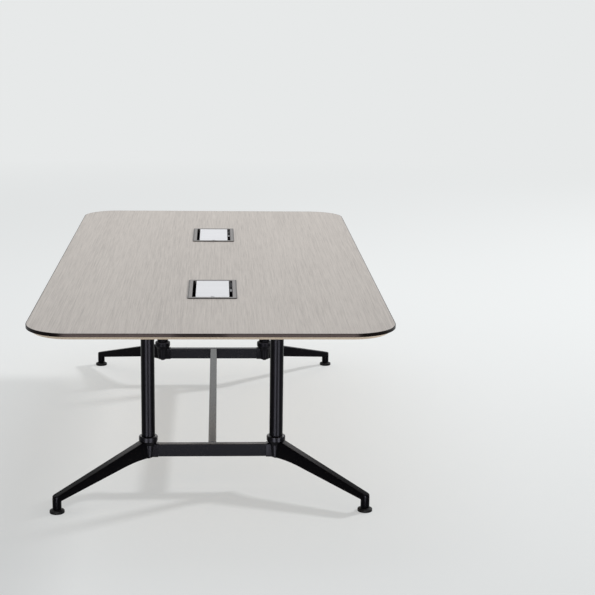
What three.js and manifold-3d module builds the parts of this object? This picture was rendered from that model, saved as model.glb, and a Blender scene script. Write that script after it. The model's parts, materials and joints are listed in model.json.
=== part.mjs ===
// Conference table: laminated top with a reverse-bevelled edge, two in-table power modules,
// two column bases with splayed cast legs, cross rails, a stretcher and levelling feet.
// Millimetres, +Z up, X across the table, Y along it, origin on the floor under the centre.

import * as THREE from 'three';
import { mergeVertices } from 'three/addons/utils/BufferGeometryUtils.js';
import Module from 'manifold-3d';

const wasm = await Module();
wasm.setup();

// Clearances
const seat = 0.3; // between pieces that rest on or against each other
const bore = 0.3; // radial, round pieces in their holes
const slip = 0.4; // between flat pieces that slide into each other
const over = 1; // how far a cut runs past the face that it opens

// Table top
const topLength = 2500;
const topWidth = 1250;
const tableHeight = 720;
const topThickness = 25;
const cornerRadius = 155;
const edgeHeight = 12;
const bevelInset = 20;
const bandThickness = 2;
const laminateThickness = 0.9;
const boardBottom = tableHeight - topThickness;
const bevelTop = tableHeight - edgeHeight;
const cornerSegments = 6;

// Base positions
const columnSideInset = 387;
const columnEndInset = 550;
const footSideInset = 77;
const footEndInset = 262;
const columnX = topWidth / 2 - columnSideInset;
const columnY = topLength / 2 - columnEndInset;
const footX = topWidth / 2 - footSideInset;
const footY = topLength / 2 - footEndInset;
const legAngle = Math.atan2(footY - columnY, footX - columnX);
const legReach = Math.hypot(footX - columnX, footY - columnY);

// Cross rails and stretcher
const railDepth = 30;
const railHeight = 48;
const railBottom = 112;
const railWall = 2.5;
const railCorner = 4;
const railInnerCorner = 1.5;
const railTop = railBottom + railHeight;
const railCentreZ = railBottom + railHeight / 2;
const spigotLength = 40;
const endPlateThickness = 4;
const endPlateHoleRadius = 4.5;
const endPlateHoleOffset = 13;

// Columns and head plates
const columnRadius = 25;
const columnWall = 2.5;
const headSize = 160;
const headThickness = 5;
const headCorner = 14;
const headScrewOffset = 62;
const headScrewRadius = 3.2;
const headPlugLength = 30;
const headTop = boardBottom - seat;
const columnTop = headTop - headThickness - seat;
const columnSeat = railTop;

// Hubs
const hubDrop = 3;
const socketDepthHub = 32;
const collarHeight = 19;
const hubBottom = railBottom - hubDrop;
const hubTop = columnSeat + socketDepthHub;
const collarRadius = 35;
const collarBottom = hubTop - collarHeight;
const collarRound = 6;
const hubNeckRadius = 26.5;
const hubFlare = 2;
const hubFootRadius = 21.5;
const hubFootRound = 3.5;
const bossStart = 8;
const bossReach = 37;
const bossMargin = 2;

// Legs
const legWidthHub = 34;
const legWidthAnkle = 31.2;
const legRise = 14;
const legDrop = 1;
const legTopHub = columnSeat + legRise;
const legTopAnkle = 66;
const legBottomHub = hubBottom - legDrop;
const legBottomAnkle = 41;
const legEdge = 5;
const legStart = 12;
const legCurveStart = 24;
const legCurveEnd = 128;
const legCurveSteps = 6;
const ankleRadius = 16;
const ankleRound = 4;
const ankleEdge = 1;

// Levelling feet
const padRadius = 26.5;
const padHeight = 14;
const padEdge = 7.2;
const padFloorEdge = 1.2;
const padTopEdge = 1.8;
const padDomeRadius = 17;
const padDomeDrop = 0.8;
const padFlatRadius = 8;
const ballRadius = 3.2;
const ballZ = padHeight - 4;
const ballNeckRadius = 2;
const stemRadius = 5;
const stemLength = 26;
const stemChamfer = 1;
const hexHeight = 5.2;
const hexRadius = 8.08;
const padGap = 1;
const ankleBottom = padHeight + padGap;
const ankleShearBase = legBottomAnkle + ankleRound;
const hexBottom = ankleBottom + 2 * seat;
const hexTop = hexBottom + hexHeight;
const stemTop = hexTop + stemLength;
const hexPocketTop = hexTop + slip;
const hexPocketRadius = hexRadius + 5 * bore;
const stemBoreTop = stemTop + 4 * over;

// Power modules
const moduleEndInset = 679;
const moduleY = topLength / 2 - moduleEndInset;
const slotWidth = 13;
const lidWidth = 123;
const openingWidth = lidWidth + 2 * slotWidth;
const openingLength = 288;
const flangeSide = 16.5;
const flangeEnd = 16;
const moduleWidth = openingWidth + 2 * flangeSide;
const moduleLength = openingLength + 2 * flangeEnd;
const moduleCorner = 8;
const rimWidth = 4.5;
const openingCorner = 3;
const skirtWall = 7.5;
const skirtWidth = openingWidth + 2 * skirtWall;
const skirtLength = openingLength + 2 * skirtWall;
const cutoutMargin = 1;
const flangeThickness = 3;
const flangeBottom = tableHeight + seat;
const flangeTop = flangeBottom + flangeThickness;
const flangeChamfer = 0.8;
const skirtDepth = 14;
const skirtBottom = tableHeight - skirtDepth;
const trimThickness = 1.4;
const trimDepth = 1.5;

// Lids
const lidThickness = 3;
const lidTop = flangeTop;
const lidBottom = lidTop - lidThickness;
const lidCorner = 4;
const lidEdge = 0.7;
const lidEndGap = 2;
const lidFreeEnd = -openingLength / 2 + lidEndGap;
const barrelRadius = 4;
const hingeV = openingLength / 2 - lidEndGap - barrelRadius;
const hingeZ = lidTop - barrelRadius;
const pinRadius = 2;
const cheekThickness = 5;
const cheekGap = 0.6;
const cheekReach = 13;
const cheekBelow = 8.3;
const cheekAbove = 2.1;
const cheekBottom = hingeZ - cheekBelow;
const cheekTop = hingeZ + cheekAbove;
const notchRadius = 9;
const lipWidth = 2.5;
const lipDepth = 6;
const lipInset = 8;
const lipHingeInset = 12;
const ledgeWidth = 80;
const ledgeReach = 7;
const ledgeThickness = 6;

// Tubs, decks and sockets
const tubDepth = 98;
const tubBottom = tableHeight - tubDepth;
const tubWall = 1.5;
const tubCorner = 6;
const tubTop = skirtBottom - seat;
const tubInnerWidth = skirtWidth - 2 * tubWall;
const tubInnerLength = skirtLength - 2 * tubWall;
const tubFloor = tubBottom + tubWall;
const deckHeight = 39;
const deckTop = tubFloor + deckHeight;
const deckThickness = 2.5;
const deckWeb = 2;
const socketX = -22;
const socketEndInset = 60;
const socketStart = -openingLength / 2 + socketEndInset;
const socketPitch = 84;
const socketSize = 45;
const socketFlange = 51;
const socketFlangeThickness = 2;
const socketCorner = 4;
const socketEdge = 0.5;
const socketDepth = 26;
const socketWellRadius = 19;
const socketWellDepth = 14;
const pinHoleRadius = 2.6;
const pinHoleOffset = 9.5;
const pinHoleDepth = 8;
const barDepth = 12;
const barRecess = 3;
const barStartInset = 102;
const barEndInset = 15;
const barInner = openingWidth / 2 - barDepth;
const barOuter = openingWidth / 2 - seat;
const barStart = -openingLength / 2 + barStartInset;
const barEnd = openingLength / 2 - barEndInset;
const barTop = lidTop - barRecess;
const barWall = 2;
const barRoof = 15;
const insertWidth = 8.4;
const insertDepth = 11;
const insertProud = 0.5;
const dataLength = 70;
const dataInset = 39;
const dataV = barEnd - dataInset;
const dataOffset = 17.5;
const dataPort = [6.6, 11.7, 8];
const chargeLength = 38;
const chargeInset = 23;
const chargeV = barStart + chargeInset;
const chargeOffset = 9.5;
const chargePort = [3.4, 9.2, 7];
const inletHeight = 18.5;
const inletZ = tubFloor + inletHeight;
const inletBody = [26, 18];
const inletFlange = [36, 26];
const inletFlangeThickness = 2;
const inletDepth = 22;
const inletWell = [18, 10, 14];

// Facets of round pieces: large ones, feet and small ones
const roundSegments = 24;
const footSegments = 20;
const smallSegments = 12;

const finishes = {
  laminate: { color: 0xb9b3ad, roughness: 0.45, metalness: 0 },
  edging: { color: 0x3a3634, roughness: 0.4, metalness: 0 },
  birch: { color: 0xc9ad84, roughness: 0.6, metalness: 0 },
  blackSteel: { color: 0x1b1a1c, roughness: 0.42, metalness: 0.1 },
  plainSteel: { color: 0x8d8d8f, roughness: 0.35, metalness: 0.9 },
  nylon: { color: 0x161517, roughness: 0.5, metalness: 0 },
  darkFrame: { color: 0x4a4645, roughness: 0.45, metalness: 0.2 },
  satinAluminium: { color: 0xb4b2b2, roughness: 0.35, metalness: 0.8 },
  paleAluminium: { color: 0xe1e1e4, roughness: 0.35, metalness: 0.4 },
  blackPlastic: { color: 0x1c1b1d, roughness: 0.5, metalness: 0 },
  greyPlastic: { color: 0x9a9a9c, roughness: 0.45, metalness: 0 },
};

// Turns a closed geometry into a solid for cutting and joining.
function solid(geometry) {
  const plain = geometry.index ? geometry.clone() : geometry;
  plain.deleteAttribute('normal');
  plain.deleteAttribute('uv');
  const merged = mergeVertices(plain, 1e-4);
  const corners = merged.index.array;
  const kept = [];
  for (let i = 0; i < corners.length; i += 3) {
    const [a, b, c] = [corners[i], corners[i + 1], corners[i + 2]];
    if (a !== b && b !== c && c !== a) {
      kept.push(a, b, c);
    }
  }
  return new wasm.Manifold(new wasm.Mesh({
    numProp: 3,
    vertProperties: new Float32Array(merged.attributes.position.array),
    triVerts: new Uint32Array(kept),
  }));
}

// Turns a solid back into a geometry.
function geometryOf(body) {
  const mesh = body.getMesh();
  const geometry = new THREE.BufferGeometry();
  geometry.setAttribute('position', new THREE.BufferAttribute(mesh.vertProperties, mesh.numProp));
  geometry.setIndex(new THREE.BufferAttribute(mesh.triVerts, 1));
  geometry.computeVertexNormals();
  return geometry;
}

// A rectangle with rounded corners, centred on the given point.
function traceRounded(path, width, length, radius, x = 0, y = 0) {
  const cx = width / 2 - radius;
  const cy = length / 2 - radius;
  path.moveTo(x + width / 2, y - cy);
  path.absarc(x + cx, y + cy, radius, 0, Math.PI / 2);
  path.absarc(x - cx, y + cy, radius, Math.PI / 2, Math.PI);
  path.absarc(x - cx, y - cy, radius, Math.PI, Math.PI * 1.5);
  path.absarc(x + cx, y - cy, radius, Math.PI * 1.5, Math.PI * 2);
  return path;
}

const rounded = (...size) => traceRounded(new THREE.Shape(), ...size);
const roundedHole = (...size) => traceRounded(new THREE.Path(), ...size);

// A flat shape raised from one height to another.
function raised(shape, bottom, top, curveSegments = 3, edge = 0) {
  const geometry = new THREE.ExtrudeGeometry(shape, {
    depth: top - bottom - 2 * edge,
    curveSegments,
    bevelEnabled: edge > 0,
    bevelThickness: edge,
    bevelSize: edge,
    bevelOffset: -edge,
    bevelSegments: 1,
  });
  return geometry.translate(0, 0, bottom + edge);
}

const raisedSolid = (...args) => solid(raised(...args));

// A box between two opposite corners.
function box(low, high) {
  const size = high.map((value, axis) => value - low[axis]);
  const centre = high.map((value, axis) => (value + low[axis]) / 2);
  return solid(new THREE.BoxGeometry(...size).translate(...centre));
}

// A profile of [radius, height] points turned about the vertical axis.
function turned(profile, segments = roundSegments) {
  const points = profile.map(([radius, height]) => new THREE.Vector2(radius, height));
  return new THREE.LatheGeometry(points, segments).rotateX(Math.PI / 2);
}

const turnedSolid = (...args) => solid(turned(...args));

// A round bar or hole along X.
function crossPin(radius, halfLength, y, z) {
  const pin = new THREE.CylinderGeometry(radius, radius, 2 * halfLength, smallSegments);
  return pin.rotateZ(Math.PI / 2).translate(0, y, z);
}

// A round post or hole along Z.
function post(radius, bottom, top, x = 0, y = 0, segments = smallSegments) {
  const body = new THREE.CylinderGeometry(radius, radius, top - bottom, segments);
  return solid(body.rotateX(Math.PI / 2).translate(x, y, (top + bottom) / 2));
}

// Points of an arc in a turned profile, from one angle to another in degrees.
function arc(centreR, centreZ, radius, from, to, steps) {
  const points = [];
  for (let i = 0; i <= steps; i += 1) {
    const angle = THREE.MathUtils.degToRad(from + ((to - from) * i) / steps);
    points.push([centreR + radius * Math.cos(angle), centreZ + radius * Math.sin(angle)]);
  }
  return points;
}

// Moves a point of the top's rounded outline straight inwards.
function insetPoint(x, y, inset) {
  const cx = Math.sign(x) * (topWidth / 2 - cornerRadius);
  const cy = Math.sign(y) * (topLength / 2 - cornerRadius);
  const reach = Math.hypot(x - cx, y - cy);
  const scale = (reach - inset) / reach;
  return [cx + (x - cx) * scale, cy + (y - cy) * scale];
}

// Outline of the top, moved inwards all round.
function topOutline(trace, inset) {
  return trace(topWidth - 2 * inset, topLength - 2 * inset, cornerRadius - inset);
}

function moduleCutouts(bottom, top) {
  const width = skirtWidth + 2 * cutoutMargin;
  const length = skirtLength + 2 * cutoutMargin;
  const cut = (y) => raisedSolid(rounded(width, length, openingCorner, 0, y), bottom, top, 1);
  return cut(-moduleY).add(cut(moduleY));
}

// Board with a straight edge above and an undercut bevel below.
function coreBoard() {
  const inset = bandThickness + seat;
  const levels = [boardBottom, bevelTop, tableHeight - laminateThickness - seat];
  const geometry = new THREE.ExtrudeGeometry(topOutline(rounded, inset), {
    depth: 2,
    steps: 2,
    curveSegments: cornerSegments,
    bevelEnabled: false,
  });
  const points = geometry.attributes.position;
  for (let i = 0; i < points.count; i += 1) {
    const level = Math.round(points.getZ(i));
    const [x, y] = insetPoint(points.getX(i), points.getY(i), level === 0 ? bevelInset : 0);
    points.setXYZ(i, x, y, levels[level]);
  }
  return geometryOf(solid(geometry).subtract(moduleCutouts(boardBottom - over, tableHeight + over)));
}

function topLaminate() {
  const outline = topOutline(rounded, bandThickness + seat);
  const sheet = raisedSolid(outline, tableHeight - laminateThickness, tableHeight, cornerSegments);
  return geometryOf(sheet.subtract(moduleCutouts(boardBottom, tableHeight + over)));
}

function edgeBand() {
  const outline = topOutline(rounded, 0);
  outline.holes.push(topOutline(roundedHole, bandThickness));
  return raised(outline, bevelTop, tableHeight, cornerSegments);
}

function column() {
  const inner = columnRadius - columnWall;
  const bottom = columnSeat + seat;
  return turned([
    [columnRadius, bottom],
    [columnRadius, columnTop],
    [inner, columnTop],
    [inner, bottom],
    [columnRadius, bottom],
  ]);
}

// Square plate under the board with a plug that fills the column's upper end.
function headPlate() {
  const outline = rounded(headSize, headSize, headCorner);
  for (const x of [-headScrewOffset, headScrewOffset]) {
    for (const y of [-headScrewOffset, headScrewOffset]) {
      const hole = new THREE.Path();
      hole.absarc(x, y, headScrewRadius, 0, Math.PI * 2);
      outline.holes.push(hole);
    }
  }
  const plate = raisedSolid(outline, headTop - headThickness, headTop, 3);
  const plugRadius = columnRadius - columnWall - bore;
  const plugBottom = columnTop - headPlugLength;
  return geometryOf(plate.add(post(plugRadius, plugBottom, headTop - over, 0, 0, roundSegments)));
}

// Outside of the hub: tapered foot, flared neck and a collar with a rounded top.
function hubProfile(grow) {
  const neckZ = columnSeat - hubFlare;
  const topCentre = hubTop - collarRound;
  return [
    [0, hubBottom - grow],
    [hubFootRadius - hubFootRound, hubBottom - grow],
    ...arc(hubFootRadius - hubFootRound, hubBottom + hubFootRound, hubFootRound + grow, -45, 0, 1),
    [hubNeckRadius + grow, neckZ],
    [collarRadius + grow, collarBottom - grow],
    ...arc(collarRadius - collarRound, topCentre, collarRound + grow, 0, 90, 3),
  ];
}

// Hub casting: turned body with the column's socket, a boss and a spigot for the cross rail.
function hub() {
  const socket = columnRadius + bore;
  const body = turnedSolid([
    ...hubProfile(0),
    [socket, hubTop],
    [socket, columnSeat],
    [0, columnSeat],
  ]);
  const along = (depth, height, corner, from, to) => {
    const bar = raised(rounded(height, depth, corner), from, to, 1);
    return solid(bar.rotateY(-Math.PI / 2).translate(0, 0, railCentreZ));
  };
  const margin = 2 * bossMargin;
  const boss = along(railDepth + margin, railHeight + margin, railCorner, bossStart, bossReach);
  const inner = 2 * (railWall + slip);
  const spigot = along(
    railDepth - inner,
    railHeight - inner,
    railInnerCorner,
    bossReach - over,
    bossReach + spigotLength,
  );
  const well = post(socket, columnSeat, hubTop + over, 0, 0, roundSegments);
  return geometryOf(body.add(boss).subtract(well).add(spigot));
}

// Rectangular tube standing on its narrow side, from one end to the other along Z.
function tubeAlong(from, to) {
  const outline = rounded(railHeight, railDepth, railCorner);
  const inner = 2 * railWall;
  outline.holes.push(roundedHole(railHeight - inner, railDepth - inner, railInnerCorner));
  return raised(outline, from, to, 2);
}

function crossRail() {
  const end = columnX - bossReach - seat;
  return tubeAlong(-end, end).rotateY(-Math.PI / 2).translate(0, 0, railCentreZ);
}

const stretcherFace = columnY - railDepth / 2 - seat;

function stretcher() {
  const end = stretcherFace - endPlateThickness - seat;
  const tube = tubeAlong(-end, end).rotateZ(Math.PI / 2);
  return tube.rotateX(-Math.PI / 2).translate(0, 0, railCentreZ);
}

// Plate that closes the stretcher's end and bolts it to the cross rail.
function stretcherPlate() {
  const outline = rounded(railDepth, railHeight, railCorner);
  for (const y of [-endPlateHoleOffset, endPlateHoleOffset]) {
    const hole = new THREE.Path();
    hole.absarc(0, y, endPlateHoleRadius, 0, Math.PI * 2);
    outline.holes.push(hole);
  }
  const plate = raised(outline, stretcherFace - endPlateThickness, stretcherFace, 3);
  return plate.rotateX(Math.PI / 2).translate(0, 0, railCentreZ);
}

// Height of the leg's underside: level under the hub, then a curve into a straight slope.
function legUnderside(reach) {
  const slope = (legBottomAnkle - legBottomHub) / (legReach - (legCurveStart + legCurveEnd) / 2);
  if (reach <= legCurveStart) {
    return legBottomHub;
  }
  const bend = Math.min(reach, legCurveEnd) - legCurveStart;
  const drop = (slope * bend ** 2) / (2 * (legCurveEnd - legCurveStart));
  return legBottomHub + drop + slope * Math.max(0, reach - legCurveEnd);
}

const legTopSlope = (legTopAnkle - legTopHub) / (legReach - collarRadius);
const legTopSide = (reach) => legTopAnkle + legTopSlope * (reach - legReach);

// Distances from the column's axis at which the leg's section is set.
function legStations() {
  const stations = [legStart];
  for (let i = 0; i <= legCurveSteps; i += 1) {
    stations.push(legCurveStart + ((legCurveEnd - legCurveStart) * i) / legCurveSteps);
  }
  return [...stations, legReach];
}

// Leg casting: a rounded section drawn along the arm, tapering in width and height, with a
// saddle that fits the hub, and an ankle whose top follows the arm's slope.
function leg() {
  const stations = legStations();
  const steps = stations.length - 1;
  const heightHub = legTopHub - legBottomHub;
  const arm = new THREE.ExtrudeGeometry(rounded(legWidthHub, heightHub, legEdge), {
    depth: steps,
    steps,
    curveSegments: 1,
    bevelEnabled: false,
  });
  const points = arm.attributes.position;
  for (let i = 0; i < points.count; i += 1) {
    const reach = stations[Math.round(points.getZ(i))];
    const taper = reach / legReach;
    const width = legWidthHub + (legWidthAnkle - legWidthHub) * taper;
    const low = legUnderside(reach);
    const high = legTopSide(reach);
    const across = (points.getX(i) / legWidthHub) * width;
    const up = low + (points.getY(i) / heightHub + 0.5) * (high - low);
    points.setXYZ(i, reach, across, up);
  }
  const ankle = turned([
    [0, ankleBottom],
    [ankleRadius - ankleEdge, ankleBottom],
    [ankleRadius, ankleBottom + ankleEdge],
    [ankleRadius, ankleShearBase],
    ...arc(ankleRadius - ankleRound, legTopAnkle - ankleRound, ankleRound, 0, 90, 2),
    [0, legTopAnkle],
  ], footSegments);
  const ring = ankle.attributes.position;
  for (let i = 0; i < ring.count; i += 1) {
    const share = (ring.getZ(i) - ankleShearBase) / (legTopAnkle - ankleShearBase);
    ring.setZ(i, ring.getZ(i) + legTopSlope * ring.getX(i) * Math.max(0, share));
  }
  const saddle = turnedSolid([...hubProfile(seat), [0, hubTop + seat]]);
  const stemBore = post(stemRadius + bore, 0, stemBoreTop, legReach);
  const hexPocket = post(hexPocketRadius, 0, hexPocketTop, legReach);
  const casting = solid(arm).add(solid(ankle.translate(legReach, 0, 0)));
  return geometryOf(casting.subtract(saddle).subtract(stemBore).subtract(hexPocket));
}

// Round pad with a low dome and a socket for the stem's ball.
function pad() {
  const socket = ballRadius + bore;
  const mouth = ballNeckRadius + bore;
  const lip = THREE.MathUtils.radToDeg(Math.acos(mouth / socket));
  return turned([
    [0, 0],
    [padRadius - padFloorEdge, 0],
    [padRadius, padFloorEdge],
    [padRadius, padEdge],
    [padRadius - padTopEdge, padEdge + padTopEdge],
    [padDomeRadius, padHeight - padDomeDrop],
    [padFlatRadius, padHeight],
    [mouth, padHeight],
    ...arc(0, ballZ, socket, lip, -50, 3),
    [0, ballZ - socket],
  ], footSegments);
}

// Levelling stem: ball, neck, hexagon for a spanner and the threaded length.
function stem() {
  const neck = THREE.MathUtils.radToDeg(Math.acos(ballNeckRadius / ballRadius));
  const rod = turnedSolid([
    [0, ballZ - ballRadius],
    ...arc(0, ballZ, ballRadius, -50, neck, 4),
    [ballNeckRadius, hexBottom + over],
    [stemRadius, hexBottom + over],
    [stemRadius, stemTop - stemChamfer],
    [stemRadius - stemChamfer, stemTop],
    [0, stemTop],
  ], smallSegments);
  return geometryOf(rod.add(post(hexRadius, hexBottom, hexTop, 0, 0, 6)));
}

// Surround of a power module: flange on the table top, skirt in the cut-out, hinge cheeks.
function surround() {
  const flange = raisedSolid(
    rounded(moduleWidth, moduleLength, moduleCorner),
    flangeBottom,
    flangeTop,
    3,
    flangeChamfer,
  );
  const skirt = raisedSolid(
    rounded(skirtWidth, skirtLength, openingCorner),
    skirtBottom,
    flangeTop - trimDepth,
    1,
  );
  const opening = raisedSolid(
    rounded(openingWidth, openingLength, openingCorner),
    skirtBottom - over,
    flangeTop + over,
    1,
  );
  const land = raisedSolid(
    rounded(moduleWidth - 2 * rimWidth, moduleLength - 2 * rimWidth, moduleCorner - rimWidth),
    flangeTop - trimDepth,
    flangeTop + over,
    1,
  );
  const end = openingLength / 2 + over;
  const ledgeTop = lidBottom - seat;
  const ledge = box(
    [-ledgeWidth / 2, -end, ledgeTop - ledgeThickness],
    [ledgeWidth / 2, -openingLength / 2 + ledgeReach, ledgeTop],
  );
  const cheekSide = lidWidth / 2 + cheekGap;
  const cheek = (side) => {
    const faces = [side * cheekSide, side * (cheekSide + cheekThickness)].sort((a, b) => a - b);
    return box(
      [faces[0], openingLength / 2 - cheekReach, cheekBottom],
      [faces[1], end, cheekTop],
    );
  };
  const pinBore = solid(crossPin(pinRadius + bore, moduleWidth / 2 - rimWidth - skirtWall, hingeV, hingeZ));
  const cheeks = cheek(-1).add(cheek(1)).subtract(pinBore);
  return geometryOf(flange.add(skirt).subtract(opening).subtract(land).add(ledge).add(cheeks));
}

// Metal ring that lies in the surround's land.
function trim() {
  const width = moduleWidth - 2 * rimWidth - 2 * seat;
  const length = moduleLength - 2 * rimWidth - 2 * seat;
  const outline = rounded(width, length, moduleCorner - rimWidth - seat);
  outline.holes.push(roundedHole(openingWidth, openingLength, openingCorner));
  const bottom = flangeTop - trimDepth + seat;
  return raised(outline, bottom, bottom + trimThickness, 1);
}

// Lid: plate with a finger notch, stiffening lips along its sides and a hinge barrel.
function lid() {
  const half = lidWidth / 2;
  const outline = new THREE.Shape();
  outline.moveTo(half, hingeV);
  outline.lineTo(-half, hingeV);
  outline.lineTo(-half, lidFreeEnd + lidCorner);
  outline.absarc(-half + lidCorner, lidFreeEnd + lidCorner, lidCorner, Math.PI, Math.PI * 1.5);
  outline.lineTo(-notchRadius, lidFreeEnd);
  outline.absarc(0, lidFreeEnd, notchRadius, Math.PI, 0, true);
  outline.lineTo(half - lidCorner, lidFreeEnd);
  outline.absarc(half - lidCorner, lidFreeEnd + lidCorner, lidCorner, Math.PI * 1.5, Math.PI * 2);
  const plate = raisedSolid(outline, lidBottom, lidTop, 3, lidEdge);
  const barrel = solid(crossPin(barrelRadius, half, hingeV, hingeZ));
  const lipAt = (low) => box(
    [low, lidFreeEnd + lipInset, lidBottom - lipDepth],
    [low + lipWidth, hingeV - lipHingeInset, lidTop - over],
  );
  const lips = lipAt(-half + lidEdge).add(lipAt(half - lidEdge - lipWidth));
  const pinBore = solid(crossPin(pinRadius + bore, half + over, hingeV, hingeZ));
  return geometryOf(plate.add(barrel).add(lips).subtract(pinBore));
}

function lidPin() {
  return crossPin(pinRadius, lidWidth / 2 + cheekGap + cheekThickness, hingeV, hingeZ);
}

// Sheet-metal tub under the surround, open at the top, with a window for the inlet.
function tub() {
  const outer = raisedSolid(rounded(skirtWidth, skirtLength, tubCorner), tubBottom, tubTop, 2);
  const inner = raisedSolid(
    rounded(tubInnerWidth, tubInnerLength, tubCorner - tubWall),
    tubFloor,
    tubTop + over,
    2,
  );
  const [width, height] = inletBody;
  const window = box(
    [-width / 2 - slip, skirtLength / 2 - tubWall - over, inletZ - height / 2 - slip],
    [width / 2 + slip, skirtLength / 2 + over, inletZ + height / 2 + slip],
  );
  return geometryOf(outer.subtract(inner).subtract(window));
}

const socketPlaces = [socketStart, socketStart + socketPitch];

// Bridge over the tub's floor that carries the sockets and the port bar.
function socketDeck() {
  const half = tubInnerWidth / 2 - seat;
  const end = tubInnerLength / 2 - seat;
  const bottom = tubFloor + seat;
  const block = box([-half, -end, bottom], [half, end, deckTop]);
  const under = box(
    [-half + deckWeb, -end - over, bottom - over],
    [half - deckWeb, end + over, deckTop - deckThickness],
  );
  const hole = socketSize / 2 + slip;
  const holes = socketPlaces.map((y) => box(
    [socketX - hole, y - hole, bottom],
    [socketX + hole, y + hole, deckTop + over],
  ));
  const corner = tubCorner - tubWall;
  const outline = raisedSolid(rounded(2 * half, 2 * end, corner), bottom - over, deckTop + over, 2);
  const bridge = block.subtract(under).intersect(outline);
  return geometryOf(holes.reduce((deck, cut) => deck.subtract(cut), bridge));
}

// Socket with a round well and two contact holes, set in the deck.
function powerSocket() {
  const flangeLow = deckTop + seat;
  const top = flangeLow + socketFlangeThickness;
  const face = rounded(socketFlange, socketFlange, socketCorner);
  const flange = raisedSolid(face, flangeLow, top, 1, socketEdge);
  const half = socketSize / 2;
  const body = box([-half, -half, flangeLow - socketDepth], [half, half, flangeLow + over]);
  const wellBottom = top - socketWellDepth;
  const well = post(socketWellRadius, wellBottom, top + over, 0, 0, footSegments);
  const contact = (x) => post(pinHoleRadius, wellBottom - pinHoleDepth, top, x, 0, 8);
  const cuts = well.add(contact(-pinHoleOffset)).add(contact(pinHoleOffset));
  return geometryOf(flange.add(body).subtract(cuts));
}

const insertPlaces = [[chargeV, chargeLength], [dataV, dataLength]];

// Moulded bar under the slot beside the lid, hollow from below, with pockets for the ports.
function portBar() {
  const low = deckTop + seat;
  const block = box([barInner, barStart, low], [barOuter, barEnd, barTop]);
  const hollow = box(
    [barInner + barWall, barStart + barWall, low - over],
    [barOuter - barWall, barEnd - barWall, barTop - barRoof],
  );
  const centre = (barInner + barOuter) / 2;
  const halfWidth = insertWidth / 2 + seat;
  const pockets = insertPlaces.map(([y, length]) => box(
    [centre - halfWidth, y - length / 2 - seat, barTop + insertProud - insertDepth - seat],
    [centre + halfWidth, y + length / 2 + seat, barTop + over],
  ));
  return geometryOf(pockets.reduce((bar, cut) => bar.subtract(cut), block.subtract(hollow)));
}

// Insert with a pair of ports, flush in the port bar.
function portInsert([place, insertLength], offset, [width, length, depth]) {
  const centre = (barInner + barOuter) / 2;
  const top = barTop + insertProud;
  const body = box(
    [centre - insertWidth / 2, place - insertLength / 2, top - insertDepth],
    [centre + insertWidth / 2, place + insertLength / 2, top],
  );
  const mouth = (y) => raisedSolid(
    rounded(width, length, width / 3, centre, y),
    top - depth,
    top + over,
    1,
  );
  return geometryOf(body.subtract(mouth(place - offset)).subtract(mouth(place + offset)));
}

// Supply inlet through the tub's end wall.
function inlet() {
  const wall = skirtLength / 2;
  const outside = wall + seat + inletFlangeThickness;
  const [bodyWidth, bodyHeight] = inletBody;
  const [flangeWidth, flangeHeight] = inletFlange;
  const [wellWidth, wellHeight, wellDepth] = inletWell;
  const body = box(
    [-bodyWidth / 2, outside - inletDepth, inletZ - bodyHeight / 2],
    [bodyWidth / 2, outside - over, inletZ + bodyHeight / 2],
  );
  const flange = box(
    [-flangeWidth / 2, wall + seat, inletZ - flangeHeight / 2],
    [flangeWidth / 2, outside, inletZ + flangeHeight / 2],
  );
  const well = box(
    [-wellWidth / 2, outside - wellDepth, inletZ - wellHeight / 2],
    [wellWidth / 2, outside + over, inletZ + wellHeight / 2],
  );
  return geometryOf(flange.add(body).subtract(well));
}

const table = new THREE.Group();
table.name = 'conference_table';

function place(parent, name, geometry, finish, x = 0, y = 0, turn = 0) {
  const mesh = new THREE.Mesh(geometry, new THREE.MeshStandardMaterial(finishes[finish]));
  mesh.name = name;
  mesh.position.set(x, y, 0);
  mesh.rotation.z = turn;
  parent.add(mesh);
}

place(table, 'core_board', coreBoard(), 'birch');
place(table, 'top_laminate', topLaminate(), 'laminate');
place(table, 'edge_band', edgeBand(), 'edging');

for (const [end, endSign] of [['front', -1], ['rear', 1]]) {
  const baseY = endSign * columnY;
  place(table, `${end}_cross_rail`, crossRail(), 'blackSteel', 0, baseY);
  for (const [side, sideSign] of [['left', -1], ['right', 1]]) {
    const corner = `${end}_${side}`;
    const baseX = sideSign * columnX;
    const inward = sideSign > 0 ? 0 : Math.PI;
    const splay = Math.atan2(endSign * Math.sin(legAngle), sideSign * Math.cos(legAngle));
    const padX = sideSign * footX;
    const padY = endSign * footY;
    place(table, `${corner}_column`, column(), 'blackSteel', baseX, baseY);
    place(table, `${corner}_head_plate`, headPlate(), 'blackSteel', baseX, baseY);
    place(table, `${corner}_hub`, hub(), 'blackSteel', baseX, baseY, inward);
    place(table, `${corner}_leg`, leg(), 'blackSteel', baseX, baseY, splay);
    place(table, `${corner}_pad`, pad(), 'nylon', padX, padY);
    place(table, `${corner}_stem`, stem(), 'plainSteel', padX, padY);
  }
}

place(table, 'stretcher', stretcher(), 'blackSteel');
place(table, 'stretcher_front_plate', stretcherPlate(), 'blackSteel');
place(table, 'stretcher_rear_plate', stretcherPlate(), 'blackSteel', 0, 0, Math.PI);

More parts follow.
